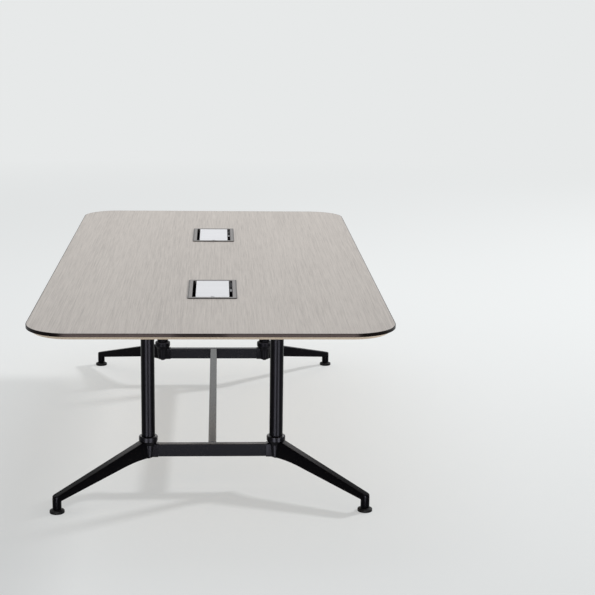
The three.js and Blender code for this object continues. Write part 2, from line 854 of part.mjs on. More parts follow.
for (const [end, endSign] of [['front', -1], ['rear', 1]]) {
  const module = new THREE.Group();
  module.name = `${end}_power_module`;
  module.position.set(0, endSign * moduleY, 0);
  table.add(module);
  place(module, `${end}_module_surround`, surround(), 'darkFrame');
  place(module, `${end}_module_trim`, trim(), 'satinAluminium');
  place(module, `${end}_lid`, lid(), 'paleAluminium');
  place(module, `${end}_lid_pin`, lidPin(), 'plainSteel');
  place(module, `${end}_tub`, tub(), 'blackSteel');
  place(module, `${end}_socket_deck`, socketDeck(), 'blackPlastic');
  place(module, `${end}_socket_a`, powerSocket(), 'blackPlastic', socketX, socketPlaces[0]);
  place(module, `${end}_socket_b`, powerSocket(), 'blackPlastic', socketX, socketPlaces[1]);
  place(module, `${end}_port_bar`, portBar(), 'blackPlastic');
  const [charge, data] = insertPlaces;
  place(module, `${end}_charge_ports`, portInsert(charge, chargeOffset, chargePort), 'greyPlastic');
  place(module, `${end}_data_ports`, portInsert(data, dataOffset, dataPort), 'greyPlastic');
  place(module, `${end}_inlet`, inlet(), 'blackPlastic');
}

export default table;
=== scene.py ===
import json
import math
import bmesh
import bpy
import numpy as np
from mathutils import Matrix, Vector

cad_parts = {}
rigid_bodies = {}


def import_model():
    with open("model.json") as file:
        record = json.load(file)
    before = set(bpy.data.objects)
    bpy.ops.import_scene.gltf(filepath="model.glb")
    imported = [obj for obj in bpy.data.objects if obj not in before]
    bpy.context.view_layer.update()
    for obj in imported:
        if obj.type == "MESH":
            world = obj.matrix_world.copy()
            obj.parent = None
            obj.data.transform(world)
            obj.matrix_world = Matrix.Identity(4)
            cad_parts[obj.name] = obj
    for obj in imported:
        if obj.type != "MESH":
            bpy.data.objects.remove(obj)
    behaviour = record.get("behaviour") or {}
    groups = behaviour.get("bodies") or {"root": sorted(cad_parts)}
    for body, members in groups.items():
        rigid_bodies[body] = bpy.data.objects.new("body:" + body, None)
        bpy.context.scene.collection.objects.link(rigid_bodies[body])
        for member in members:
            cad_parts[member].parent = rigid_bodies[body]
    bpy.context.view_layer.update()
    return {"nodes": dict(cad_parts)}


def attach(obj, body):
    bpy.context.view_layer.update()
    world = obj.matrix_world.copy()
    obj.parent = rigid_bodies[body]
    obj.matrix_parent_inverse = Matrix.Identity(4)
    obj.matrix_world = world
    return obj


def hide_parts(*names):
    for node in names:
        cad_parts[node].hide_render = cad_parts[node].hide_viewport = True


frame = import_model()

scene = bpy.context.scene
mm = 0.001
print("frame loaded:", len(frame["nodes"]), "nodes")


def linear(hexCode):  # sRGB hex to linear colour
    parts = np.array([int(hexCode[i:i + 2], 16) for i in (0, 2, 4)]) / 255
    lin = np.where(parts <= 0.04045, parts / 12.92, ((parts + 0.055) / 1.055) ** 2.4)
    return (*lin.tolist(), 1.0)


def addNode(tree, kind, settings=None, links=None):  # one shader node, its settings and what feeds it
    node = tree.nodes.new("ShaderNode" + kind)
    for key, value in (settings or {}).items():
        if key == "stops":
            while len(node.color_ramp.elements) < len(value):
                node.color_ramp.elements.new(0.5)
            for stop, (place, colour) in zip(node.color_ramp.elements, value):
                stop.position, stop.color = place, colour
        elif isinstance(key, int) or key in node.inputs:
            node.inputs[key].default_value = value
        else:
            setattr(node, key, value)
    for key, source in (links or {}).items():
        tree.links.new(source, node.inputs[key])
    return node


def startMaterial(name, settings):  # material with a shader, its output and object coordinates
    material = bpy.data.materials.new(name)
    material.use_nodes = True
    tree = material.node_tree
    tree.nodes.clear()
    shader = addNode(tree, "BsdfPrincipled", settings)
    addNode(tree, "OutputMaterial", links={"Surface": shader.outputs[0]})
    coords = addNode(tree, "TexCoord").outputs["Object"]
    return material, tree, shader, coords


def patternNoise(tree, coords, size, detail=2.0, roughness=0.5):
    # noise whose lumps are about size, or size (x, y, z), in millimetres
    scale = tuple(1 / (s * mm) for s in np.broadcast_to(size, 3).tolist())
    mapped = addNode(tree, "Mapping", {"Scale": scale}, {"Vector": coords})
    return addNode(tree, "TexNoise", {"Scale": 1.0, "Detail": detail, "Roughness": roughness},
                   {"Vector": mapped.outputs[0]}).outputs["Fac"]


def twoTones(look, dark="dark", start=0.3, stop=0.7):  # settings of a ramp between two of a look's colours
    return {"stops": [(start, linear(look[dark])), (stop, linear(look["light"]))]}


skinDepth = 0.2 * mm  # height of the bumps in a coat, a veneer or a moulded skin
lineDepth = 0.1 * mm  # depth of brushed lines


def finishMaterial(tree, shader, look, colour, pattern, height=None, span=(0, 1), depth=skinDepth):
    # the pattern, over its span, sets the roughness between the look's two values, the height makes bumps
    limits = zip(("From Min", "From Max", "To Min", "To Max"), (*span, *look["roughness"]))
    rough = addNode(tree, "MapRange", dict(limits), {"Value": pattern})
    sockets = {"Base Color": colour, "Roughness": rough.outputs[0]}
    if height:
        bump = addNode(tree, "Bump", {"Strength": look["bump"], "Distance": depth}, {"Height": height})
        sockets["Normal"] = bump.outputs[0]
    for key, source in sockets.items():
        tree.links.new(source, shader.inputs[key])


# wood-print melamine laminate: a printed oak grain in cool grey under a matt resin skin, so it shows
# long fine streaks and only a soft sheen
laminateLook = {"dark": "9a928c", "middle": "b1a9a2", "light": "beb6af", "pore": "8a827c",
                "fibre": (2.8, 170, 170), "streak": (6, 700, 700), "cloud": (150, 1800, 1800),
                "poreSize": (2.2, 60, 60), "shares": (0.68, 0.22, 0.1), "stops": (0.36, 0.5, 0.64),
                "poreSpan": (0.62, 0.74), "poreShare": 0.35, "roughness": (0.36, 0.46), "bump": 0.12}


def makeLaminate(look):
    material, tree, shader, coords = startMaterial("grey_oak_laminate", {"IOR": 1.5})
    fibre = patternNoise(tree, coords, look["fibre"], 4.0, 0.65)  # drawn at 3 mm so that it shows
    streak = patternNoise(tree, coords, look["streak"])
    cloud = patternNoise(tree, coords, look["cloud"], 1.0)
    pores = patternNoise(tree, coords, look["poreSize"], 1.0)
    fibreShare, streakShare, cloudShare = look["shares"]
    grain = addNode(tree, "Math", {"operation": "MULTIPLY", 1: fibreShare}, {0: fibre})
    for layer, share in ((streak, streakShare), (cloud, cloudShare)):
        grain = addNode(tree, "Math", {"operation": "MULTIPLY_ADD", 1: share}, {0: layer, 2: grain.outputs[0]})
    tones = [linear(look[tone]) for tone in ("dark", "middle", "light")]
    colour = addNode(tree, "ValToRGB", {"stops": list(zip(look["stops"], tones))}, {0: grain.outputs[0]})
    poreFrom, poreTo = look["poreSpan"]
    poreMask = addNode(tree, "MapRange", {
        "From Min": poreFrom, "From Max": poreTo, "To Max": look["poreShare"]}, {"Value": pores})
    mixed = addNode(tree, "Mix", {"data_type": "RGBA", 7: linear(look["pore"])},
                    {0: poreMask.outputs[0], 6: colour.outputs[0]})
    finishMaterial(tree, shader, look, mixed.outputs[2], fibre, fibre)
    return material


laminate = makeLaminate(laminateLook)

# birch plywood: veneers of about 1.4 mm show as thin lines on the bevel, rotary grain on the face below
birchLook = {"light": "f3e1ce", "dark": "dcc2a8", "face": "d8c09e", "ply": 1.4, "plyEdge": 0.5,
             "grain": (9, 320, 3), "fleck": (2.2, 40, 3), "fleckShare": (0.1, 0.6), "roughness": (0.44, 0.6),
             "bump": 0.15}


def makeBirch(look):
    material, tree, shader, coords = startMaterial("birch_plywood", {"IOR": 1.5})
    split = addNode(tree, "SeparateXYZ", links={0: coords})
    perMetre = math.pi / (look["ply"] * mm)  # one wave spans a light and a dark veneer
    turns = addNode(tree, "Math", {"operation": "MULTIPLY", 1: perMetre}, {0: split.outputs[2]})
    wave = addNode(tree, "Math", {"operation": "SINE"}, {0: turns.outputs[0]})
    plies = addNode(tree, "MapRange", {"From Min": -look["plyEdge"], "From Max": look["plyEdge"]},
                    {"Value": wave.outputs[0]})
    grain = patternNoise(tree, coords, look["grain"], 3.0)
    flecks = patternNoise(tree, coords, look["fleck"], 1.0)
    edge = addNode(tree, "Mix", {
        "data_type": "RGBA", 6: linear(look["light"]), 7: linear(look["dark"])}, {0: plies.outputs[0]})
    wood = addNode(tree, "ValToRGB", twoTones(look, "face"), {0: grain})
    least, most = look["fleckShare"]
    share = addNode(tree, "MapRange", {"To Min": least, "To Max": most}, {"Value": flecks})
    mixed = addNode(tree, "Mix", {"data_type": "RGBA"},
                    {0: share.outputs[0], 6: wood.outputs[0], 7: edge.outputs[2]})
    finishMaterial(tree, shader, look, mixed.outputs[2], grain, grain)
    return material


birch = makeBirch(birchLook)


def makeCoated(name, look):
    # coated or moulded surface: even colour with a slight cloudiness and, on most, a fine skin texture
    material, tree, shader, coords = startMaterial(name, look["shader"])
    skin = patternNoise(tree, coords, look["skin"]) if "skin" in look else None
    cloud = patternNoise(tree, coords, look["cloud"])
    colour = addNode(tree, "ValToRGB", twoTones(look), {0: cloud})
    finishMaterial(tree, shader, look, colour.outputs[0], cloud, skin, look.get("span", (0.25, 0.75)))
    return material


def makeBrushed(name, look):
    # brushed metal: fine lines along one direction change roughness, tone and slope
    material, tree, shader, coords = startMaterial(name, look["shader"])
    lines = patternNoise(tree, coords, look["lines"], 3.0, 0.7)
    bands = patternNoise(tree, coords, look["bands"], 1.0)
    bandShare, toneSpan, lineSpan = 0.35, (0.4, 0.95), (0.3, 0.7)  # wide bands, and what tone and gloss span
    both = addNode(tree, "Math", {"operation": "MULTIPLY_ADD", 1: bandShare}, {0: bands, 2: lines})
    colour = addNode(tree, "ValToRGB", twoTones(look, "dark", *toneSpan), {0: both.outputs[0]})
    finishMaterial(tree, shader, look, colour.outputs[0], lines, lines, lineSpan, lineDepth)
    return material


# ABS edge banding: extruded strip, nearly black, with a warm satin sheen and faint marks along its run
edging = makeCoated("dark_abs_edging", {
    "shader": {"IOR": 1.5, "Specular IOR Level": 0.06, "Specular Tint": linear("ffe7e4")},
    "dark": "0c0908", "light": "151110", "cloud": (60, 60, 1.6), "span": (0, 1), "roughness": (0.25, 0.4)})
coatSheen = {"IOR": 1.5, "Specular Tint": linear("ececff")}  # black powder coat reflects a little bluish
# black powder coat on steel tube: satin, with a fine orange peel (drawn at 1.6 mm)
blackSteel = makeCoated("black_powder_coat", {
    "shader": {**coatSheen, "Specular IOR Level": 0.06}, "dark": "050406", "light": "080709", "skin": 1.6,
    "cloud": 70, "roughness": (0.28, 0.34), "bump": 0.03})
# the stretcher's coat is smoother and shinier
satinSteel = makeCoated("black_satin_coat", {
    "shader": {"IOR": 1.5, "Specular IOR Level": 0.55}, "dark": "070608", "light": "0b0a0c", "skin": 1.6,
    "cloud": 70, "roughness": (0.2, 0.26), "bump": 0.02})
# the cross rails' coat lies between the two
railSteel = makeCoated("black_rail_coat", {
    "shader": {**coatSheen, "Specular IOR Level": 0.41}, "dark": "060507", "light": "0a090b", "skin": 1.6,
    "cloud": 70, "roughness": (0.24, 0.3), "bump": 0.02})
# black powder coat on cast aluminium: a little coarser than on the tube
castingLook = {"shader": {**coatSheen, "Specular IOR Level": 0.04}, "dark": "050406", "light": "080709",
               "skin": 2.4, "cloud": 55, "roughness": (0.27, 0.34), "bump": 0.04}
blackCasting = makeCoated("black_coated_casting", castingLook)
# the hubs' castings are turned before they are coated, so they shine a little more
hubCasting = makeCoated("black_turned_casting", {
    **castingLook, "shader": {**coatSheen, "Specular IOR Level": 0.09}})
# glass-filled nylon: moulded, matt black
nylon = makeCoated("black_nylon", {
    "shader": {"IOR": 1.53, "Specular IOR Level": 0.12}, "dark": "060507", "light": "0b0a0c", "skin": 1.2,
    "cloud": 30, "roughness": (0.45, 0.58), "bump": 0.1})
# dark painted zinc frame of the power module
darkFrame = makeCoated("dark_painted_zinc", {
    "shader": {"IOR": 1.5}, "dark": "423e3d", "light": "4e4a49", "skin": 1.0, "cloud": 40,
    "roughness": (0.36, 0.46), "bump": 0.05})
# black ABS: moulded, fine spark texture
blackPlastic = makeCoated("black_abs", {
    "shader": {"IOR": 1.53}, "dark": "1f1e20", "light": "2b2a2c", "skin": 0.8, "cloud": 25,
    "roughness": (0.42, 0.55), "bump": 0.12})
# black ABS of the port bar, matt so that it stays dark when seen flat along the slot
mattPlastic = makeCoated("matt_black_abs", {
    "shader": {"IOR": 1.53, "Specular IOR Level": 0.03}, "dark": "101012", "light": "18171a", "skin": 0.8,
    "cloud": 25, "roughness": (0.58, 0.68), "bump": 0.12})
# grey ABS of the port inserts
greyPlastic = makeCoated("grey_abs", {
    "shader": {"IOR": 1.53, "Specular IOR Level": 0.1}, "dark": "838385", "light": "949496", "skin": 0.8,
    "cloud": 20, "roughness": (0.4, 0.5), "bump": 0.1})
# zinc-plated steel of stems, pins and screws
plainSteel = makeCoated("zinc_plated_steel", {
    "shader": {"Metallic": 1.0}, "dark": "84848a", "light": "a2a2a6", "skin": 0.6, "cloud": 12,
    "roughness": (0.26, 0.4), "bump": 0.05})
# satin anodised aluminium of the trim, brushed along its length
trimMetal = makeBrushed("satin_anodised_aluminium", {
    "shader": {"Metallic": 0.75}, "dark": "706c6b", "light": "878382", "lines": (0.9, 90, 90),
    "bands": (12, 200, 200), "roughness": (0.34, 0.46), "bump": 0.08})
# pale anodised aluminium of the lids, brushed across (lines drawn at 2 mm so that they show)
lidMetal = makeBrushed("pale_anodised_aluminium", {
    "shader": {"Metallic": 0.25}, "dark": "d0d0d3", "light": "e3e3e6", "lines": (90, 2.0, 90),
    "bands": (600, 12, 600), "roughness": (0.4, 0.52), "bump": 0.05})
print("materials made")


def addObject(name, data):  # mesh, light or camera as an object of the scene
    thing = bpy.data.objects.new(name, data)
    scene.collection.objects.link(thing)
    return thing


def cleanMesh(mesh, distance, flatten=0.0):
    # points closer than the distance become one, faces within the angle are joined, and all look outwards
    work = bmesh.new()
    work.from_mesh(mesh)
    bmesh.ops.remove_doubles(work, verts=work.verts, dist=distance)
    if flatten:
        bmesh.ops.dissolve_limit(work, angle_limit=flatten, verts=work.verts, edges=work.edges)
    bmesh.ops.recalc_face_normals(work, faces=work.faces)
    work.to_mesh(mesh)
    work.free()


def addPiece(name, shape, material, body="frame", replaced=(), sharp=40):
    # a surface's mesh as a piece on its body; edges that bend by more than sharp, in degrees, stay hard
    points, faces = shape
    mesh = bpy.data.meshes.new(name)
    mesh.from_pydata(np.asarray(points, float).reshape(-1, 3).tolist(), [], faces)
    cleanMesh(mesh, 0.0001 * mm)
    sides = np.zeros(len(mesh.polygons), np.int32)
    mesh.polygons.foreach_get("loop_total", sides)
    mesh.set_sharp_from_angle(angle=math.radians(sharp))
    mesh.polygons.foreach_set("use_smooth", sides <= 4)  # flat caps keep flat shading
    mesh.materials.append(material)
    piece = addObject(name, mesh)
    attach(piece, body)
    if replaced:
        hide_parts(*replaced)


def gridFaces(rows, columns, closeRows=False, caps=False):
    # quads of a grid of points whose columns close to a ring, and the faces of its first and last row
    r = np.arange(rows if closeRows else rows - 1)[:, None]
    c = np.arange(columns)[None, :]
    rNext, cNext = (r + 1) % rows, (c + 1) % columns
    quads = np.stack(np.broadcast_arrays(r * columns + c, r * columns + cNext,
                                         rNext * columns + cNext, rNext * columns + c), -1)
    ends = [list(range(columns)), list(range((rows - 1) * columns, rows * columns))] if caps else []
    return quads.reshape(-1, 4).tolist() + ends


def softProfile(corners, radii, steps=4, closed=True, hold=0.2):
    # each corner becomes an arc tangent to both its sides, with a holding point beside it on each side
    corners = np.asarray(corners, float)
    radii = np.broadcast_to(np.asarray(radii, float), len(corners))
    rows = []
    for i, (here, radius) in enumerate(zip(corners, radii)):
        if radius <= 0 or (not closed and i in (0, len(corners) - 1)):
            rows.append(here[None])
            continue
        toPrev, toNext = corners[i - 1] - here, corners[(i + 1) % len(corners)] - here
        a, b = toPrev / np.linalg.norm(toPrev), toNext / np.linalg.norm(toNext)
        half = np.arccos(np.clip(a @ b, -1, 1)) / 2
        cut = radius / np.tan(half)
        centre = here + (a + b) / np.linalg.norm(a + b) * radius / np.sin(half)
        first, last = here + a * cut - centre, here + b * cut - centre
        t = np.linspace(0, 1, steps + 1)[:, None]
        sweep = np.pi - 2 * half
        arc = centre + (first * np.sin((1 - t) * sweep) + last * np.sin(t * sweep)) / np.sin(sweep)
        rows += [here[None] + a * (cut + hold), arc, here[None] + b * (cut + hold)]
    return np.concatenate(rows)


def turnedPoints(radius, z, centre, turn):
    # each row of points lies round the upright axis at centre, at its height and at the radius for each turn
    around = centre[0] + radius * np.cos(turn), centre[1] + radius * np.sin(turn)
    return np.stack(np.broadcast_arrays(*around, np.asarray(z)[:, None]), -1) * mm


def fullTurn(segments):  # even angles round a circle
    return np.linspace(0, 2 * np.pi, segments, endpoint=False)


def latheShape(profile, centre, segments, closed=False):
    # turned body: every profile point (radius, height) carried round the upright axis at centre
    profile = np.asarray(profile, float)
    points = turnedPoints(profile[:, :1], profile[:, 1], centre, fullTurn(segments))
    return points, gridFaces(len(profile), segments, closed)


def cornerTurns(steps):  # angles round four corners, each a quarter turn, and each angle's corner as signs
    angle = np.linspace(0, np.pi / 2, steps + 1)
    turn = (angle[None, :] + np.arange(4)[:, None] * np.pi / 2).ravel()
    return turn, np.repeat([[1, 1], [-1, 1], [-1, -1], [1, -1]], steps + 1, 0)


def roundedOutline(width, length, radius, steps):
    # rectangle with round corners, counter-clockwise, and the outward normal at each point
    turn, sign = cornerTurns(steps)
    normal = np.c_[np.cos(turn), np.sin(turn)]
    return sign * (np.array([width, length]) / 2 - radius) + radius * normal, normal


def raised(flat, heights):  # each row of flat points at its own height
    up = np.asarray(heights, float)[:, None, None] * np.ones(flat.shape[:2] + (1,))
    return np.concatenate([flat, up], -1) * mm


def rowsShape(rows, steps, closed=False):
    # a round-cornered outline (width, length, radius, height) at each row, joined row to row
    flat = np.stack([roundedOutline(*row[:3], steps)[0] for row in rows])
    count = flat.shape[1]
    faces = gridFaces(len(rows), count, closed)
    if not closed:
        last = (len(rows) - 1) * count
        faces += [list(range(count))[::-1], list(range(last, last + count))]
    return raised(flat, [row[3] for row in rows]), faces


def insetRows(outline, profile, least=0.05):
    # the outline (width, length, radius) at each profile point (inset, height): it shrinks by the inset
    width, length, radius = outline
    return [(width - 2 * inset, length - 2 * inset, max(radius - inset, least), z) for inset, z in profile]


def ringShape(width, length, radius, profile, steps, closed=True):  # profile carried round the outline
    return rowsShape(insetRows((width, length, radius), np.asarray(profile, float)), steps, closed)


def boardShape(width, length, radius, profile, holes, steps=24):
    # solid plate with rectangular holes on its centre line: the profile (inset, height) is carried round
    # the outline, and each face is two halves that meet on the centre line and go round the holes
    outline, normal = roundedOutline(width, length, radius, steps)
    k = steps + 1
    middle = np.array([[0, length / 2], [0, -length / 2]])
    outline = np.concatenate([outline[:k], middle[:1], outline[k:3 * k], middle[1:], outline[3 * k:]])
    normal = np.concatenate([normal[:k], [[0, 1]], normal[k:3 * k], [[0, -1]], normal[3 * k:]])
    profile = np.asarray(profile, float)
    points = [raised(outline[None] - profile[:, :1, None] * normal[None], profile[:, 1]).reshape(-1, 3)]
    n = len(outline)
    faces = gridFaces(len(profile), n)
    count = len(profile) * n
    perHole = 6  # points round a hole, two of them on the centre line
    halves = []
    for level, z in ((0, profile[0, 1]), (1, profile[-1, 1])):
        base = level * (len(profile) - 1) * n
        right = [base + i for i in [3 * k + 1, *range(3 * k + 2, 4 * k + 2), *range(k), k]]
        left = [base + i for i in [k, *range(k + 1, 3 * k + 1), 3 * k + 1]]
        holeStart = count + level * perHole * len(holes)
        loops = [[holeStart + perHole * h + i for i in range(perHole)] for h in range(len(holes))]
        for loop in loops[::-1]:  # holes are listed from low y to high y
            right += loop[:4]
        for loop in loops:
            left += [*loop[3:], loop[0]]
        halves += [right, left]
        for y, w, l in holes:
            ring = np.array([[0, l], [w, l], [w, -l], [0, -l], [-w, -l], [-w, l]]) / 2
            ring[:, 1] += y
            points.append(np.c_[ring, np.full(perHole, z)] * mm)
    walls = []
    for h in range(len(holes)):
        lower, upper = count + perHole * h, count + perHole * (len(holes) + h)
        for i in range(perHole):
            j = (i + 1) % perHole
            walls.append([lower + i, lower + j, upper + j, upper + i])
    return np.concatenate(points), faces + halves + walls


def joinShapes(*shapes):  # several surfaces in one list of points and faces
    points, faces, count = [], [], 0
    for part, quads in shapes:
        part = np.asarray(part).reshape(-1, 3)
        points.append(part)
        faces += [[i + count for i in face] for face in quads]
        count += len(part)
    return np.concatenate(points), faces


def placed(shape, axes=(0, 1, 2), shift=(0, 0, 0), turn=0.0):
    # takes the shape's own directions to the axes named, turns it about the upright axis, then moves it
    points = np.asarray(shape[0]).reshape(-1, 3)[:, axes]
    cosine, sine = math.cos(turn), math.sin(turn)
    points = points @ np.array([[cosine, sine, 0], [-sine, cosine, 0], [0, 0, 1]])
    return points + np.asarray(shift, float) * mm, shape[1]


def sideCorners(inner, outer, low, high):  # profile in at the low end, up the outside and in at the high end
    return [(inner, low), (outer, low), (outer, high), (inner, high)]


def slabShape(width, length, corner, low, high, ease, steps=2, around=8, hold=0.2):
    # plate with eased edges: its edge's profile (inset, height) runs from the lower face to the upper one
    edge = softProfile(sideCorners(1, 0, low, high), ease, steps, False, hold)[1:-1]
    edge[:, 0] = np.minimum(edge[:, 0], min(width, length) / 2 - 0.05)  # the two sides never meet
    return ringShape(width, length, corner, edge, around, False)


# table top: laminate, dark edge band, plywood board with its undercut bevel
topSize = {"width": 1250, "length": 2500, "corner": 155, "high": 720, "bottom": 695, "bevelTop": 708,
           "bevel": 20, "bevelFoot": (0.9, 0.4), "bevelHead": (0.4, 0.3), "hold": 1.2, "band": 2, "gap": 0.3,
           "bandEases": (0.7, 1.0, 0.15, 0.15), "laminate": 0.9, "ease": 0.15, "moduleY": 571,
           "cutWidth": 166, "cutLength": 305}
outer = (topSize["width"], topSize["length"], topSize["corner"])
topHigh, topLow, bevelTop, topEase = (topSize[key] for key in ("high", "bottom", "bevelTop", "ease"))
cutouts = [(y, topSize["cutWidth"], topSize["cutLength"]) for y in (-topSize["moduleY"], topSize["moduleY"])]
rim = topSize["band"] + topSize["gap"]  # the band takes this much off the board and the laminate
faceEdge = [(rim, topHigh - topSize["laminate"]), (rim, topHigh - topEase), (rim + topEase, topHigh)]
addPiece("top_face", boardShape(*outer, faceEdge, cutouts), laminate, replaced=["top_laminate"])
band = topSize["band"]
bandCorners = [(0, bevelTop), (0, topHigh), (band, topHigh), (band, bevelTop)]
bandProfile = softProfile(bandCorners, topSize["bandEases"])
addPiece("dark_edge_band", ringShape(*outer, bandProfile, 24), edging, replaced=["edge_band"])
boardTop = topHigh - topSize["laminate"] - topSize["gap"]
bevelIn = rim + topSize["bevel"]
(footOut, footUp), (headIn, headDown) = topSize["bevelFoot"], topSize["bevelHead"]  # eased ends of the bevel
boardEdge = [(bevelIn + topSize["hold"], topLow), (bevelIn, topLow), (bevelIn - footOut, topLow + footUp),
             (rim + headIn, bevelTop - headDown), (rim, bevelTop), (rim, boardTop)]
addPiece("plywood_board", boardShape(*outer, boardEdge, cutouts), birch, replaced=["core_board"],
         sharp=25)
print("table top made")

# two column bases: columns, head plates, hubs, legs and feet, at these places
baseSize = {"columnX": 238, "columnY": 700, "footX": 548, "footY": 988}
columnSize = {"radius": 25, "wall": 2.5, "low": 160.3, "high": 689.4, "ease": 0.5}


def columnShape(at):  # turned tube, open at both ends, with eased edges
    s = columnSize
    corners = sideCorners(s["radius"] - s["wall"], s["radius"], s["low"], s["high"])
    return latheShape(softProfile(corners, s["ease"], 2), at, 96, True)


plateSize = {"side": 160, "corner": 14, "low": 689.7, "high": 694.7, "ease": 0.6, "screwAt": 62, "plug": 22.2,
             "plugLow": 659.4, "plugEase": 1.0}


def headPlateShape(at):  # plate under the board with the turned plug that fills the column's end
    s = plateSize
    plate = slabShape(s["side"], s["side"], s["corner"], s["low"], s["high"], s["ease"])
    radius, low, ease = s["plug"], s["plugLow"], s["plugEase"]
    plug = [(0, low), (radius - ease, low), (radius, low + ease), (radius, s["low"]), (0, s["low"])]
    return joinShapes(placed(plate, shift=(*at, 0)), latheShape(plug, at, 48))


# screw heads under the head plates and bolt heads under the hubs
screwSize = {"radius": 5.2, "rim": 4.264, "side": 3.0, "height": 3.0, "flat": 2.5, "eases": (0, 0.2, 1.2, 0),
             "recess": 2.2, "depth": 1.9}
boltSize = {"radius": 9.5, "rim": 9.5, "side": 5.5, "height": 6.5, "flat": 3.8, "eases": (0, 0.2, 1.5, 0),
            "recess": 3.4, "depth": 3}


def headShape(size, at, high, segments=48):
    # turned head that hangs from the height given; from its flat face a six-sided recess goes in, whose
    # radius follows the angle from the middle of each side
    face = high - size["height"]
    profile = softProfile([(0, high), (size["radius"], high), (size["rim"], high - size["side"]),
                           (size["flat"], face)], size["eases"], 4, False, 0.05)
    turn = fullTurn(segments)
    hexagon = size["recess"] * math.cos(math.pi / 6) / np.cos(turn % (math.pi / 3) - math.pi / 6)
    radius = np.concatenate([np.repeat(profile[:, :1], segments, 1), [hexagon, hexagon, 0 * hexagon]])
    z = [*profile[:, 1], face, face + size["depth"], face + size["depth"]]
    return turnedPoints(radius, z, at, turn), gridFaces(len(radius), segments)


hubSize = {"low": 109, "high": 192, "seat": 160, "socket": 25.3, "collar": 35, "collarLow": 173, "neck": 26.5,
           "neckHigh": 158, "foot": 21.5, "eases": (0, 3, 5, 3, 5.5, 0.4, 0, 0), "bossFrom": 8, "bossTo": 37,
           "bossDepth": 34, "bossHeight": 52, "bossCorner": 5, "bossMiddle": 136, "bossEases": (0, 0.2, 1.2, 0)}


def hubShape(at, sideSign):  # turned hub with a rounded collar, and the boss towards the cross rail
    s = hubSize
    body = softProfile([(0, s["low"]), (s["foot"], s["low"]), (s["neck"], s["neckHigh"]),
                        (s["collar"], s["collarLow"]), (s["collar"], s["high"]), (s["socket"], s["high"]),
                        (s["socket"], s["seat"]), (0, s["seat"])], s["eases"], 6, False)
    boss = slabShape(s["bossDepth"], s["bossHeight"], s["bossCorner"], -s["bossFrom"], -s["bossTo"],
                     s["bossEases"], 4, 6)
    boss = placed(boss, (2, 0, 1), (0, 0, s["bossMiddle"]))
    boss = placed(boss, shift=(*at, 0), turn=0.0 if sideSign > 0 else math.pi)
    return joinShapes(latheShape(body, at, 96), boss)


legSize = {"start": 14, "widthHub": 34, "widthAnkle": 31.2, "topHub": 174, "topAnkle": 66, "lowHub": 108,
           "lowAnkle": 41, "curveFrom": 24, "curveTo": 128, "edge": 4.5, "ankle": 16, "ankleLow": 15,
           "ankleHigh": 53, "bore": 5.3, "ankleEases": (0, 0.3, 1.2, 0)}


def legShape(at, foot):
    # rounded section carried out along the arm: width and height change with the reach, the underside
    # bends down after the hub, and past the foot's axis the width closes as a half circle
    s = legSize
    reachFoot = math.hypot(foot[0] - at[0], foot[1] - at[1])
    bend = np.linspace(s["curveFrom"], s["curveTo"], 25)
    nose = s["widthAnkle"] / 2
    noseTurn = np.linspace(0, np.pi / 2, 15)[1:]
    straight = np.linspace(s["curveTo"], reachFoot, 9)[1:]
    reach = np.concatenate([[s["start"]], bend, straight, reachFoot + nose * np.sin(noseTurn)])
    taper = np.clip(reach / reachFoot, 0, 1)
    width = s["widthHub"] + (s["widthAnkle"] - s["widthHub"]) * taper
    width[-len(noseTurn):] = 2 * nose * np.maximum(np.cos(noseTurn), 0.02)  # never quite closed
    slope = (s["lowAnkle"] - s["lowHub"]) / (reachFoot - (s["curveFrom"] + s["curveTo"]) / 2)
    bent = np.clip(reach, s["curveFrom"], s["curveTo"]) - s["curveFrom"]
    low = s["lowHub"] + slope * bent ** 2 / (2 * (s["curveTo"] - s["curveFrom"]))
    low = low + slope * np.maximum(0, reach - s["curveTo"])
    topSlope = (s["topAnkle"] - s["topHub"]) / (reachFoot - hubSize["collar"])
    high = s["topAnkle"] + topSlope * (reach - reachFoot)
    corner = np.minimum(s["edge"], 0.49 * width)  # two corners never meet
    turn, sign = cornerTurns(6)
    across = sign[:, 0] * (width / 2 - corner)[:, None] + corner[:, None] * np.cos(turn)
    middle, half = (low + high) / 2, (high - low) / 2
    up = middle[:, None] + sign[:, 1] * (half - corner)[:, None] + corner[:, None] * np.sin(turn)
    along = np.repeat(reach[:, None], len(turn), 1)
    points = np.stack([along, across, up], -1) * mm
    faces = gridFaces(len(reach), len(turn), caps=True)
    ankle = softProfile([(s["bore"], s["ankleHigh"]), (s["bore"], s["ankleLow"]), (s["ankle"], s["ankleLow"]),
                         (s["ankle"], s["ankleHigh"])], s["ankleEases"], 4, False)
    shape = joinShapes((points, faces), latheShape(ankle, (reachFoot, 0), 64, True))
    return placed(shape, shift=(*at, 0), turn=math.atan2(foot[1] - at[1], foot[0] - at[0]))


footSize = {"radius": 26.5, "height": 14, "edge": 9.2, "dome": 17, "domeHigh": 13.4, "mouth": 2.3,
            "socket": 3.5, "padEases": (0, 1.2, 2.2, 6, 0.3, 1.5, 0), "hexRadius": 8.08, "hexLow": 15.6,
            "hexHigh": 20.8, "hexEase": 0.5, "stem": 5, "threadHigh": 45.8, "pitch": 1.5, "perTurn": 6,
            "thread": 0.45, "tipIn": 0.9, "tipUp": 0.8, "neck": 2, "neckUp": 1, "ball": 3.2, "ballZ": 10}


def padShape(at):  # turned pad with a low dome and the socket of the stem's ball
    s = footSize
    profile = softProfile([(0, 0), (s["radius"], 0), (s["radius"], s["edge"]), (s["dome"], s["domeHigh"]),
                           (s["mouth"], s["height"]), (s["socket"], s["ballZ"]),
                           (0, s["ballZ"] - s["socket"])], s["padEases"], 5, False)
    return latheShape(profile, at, 72)


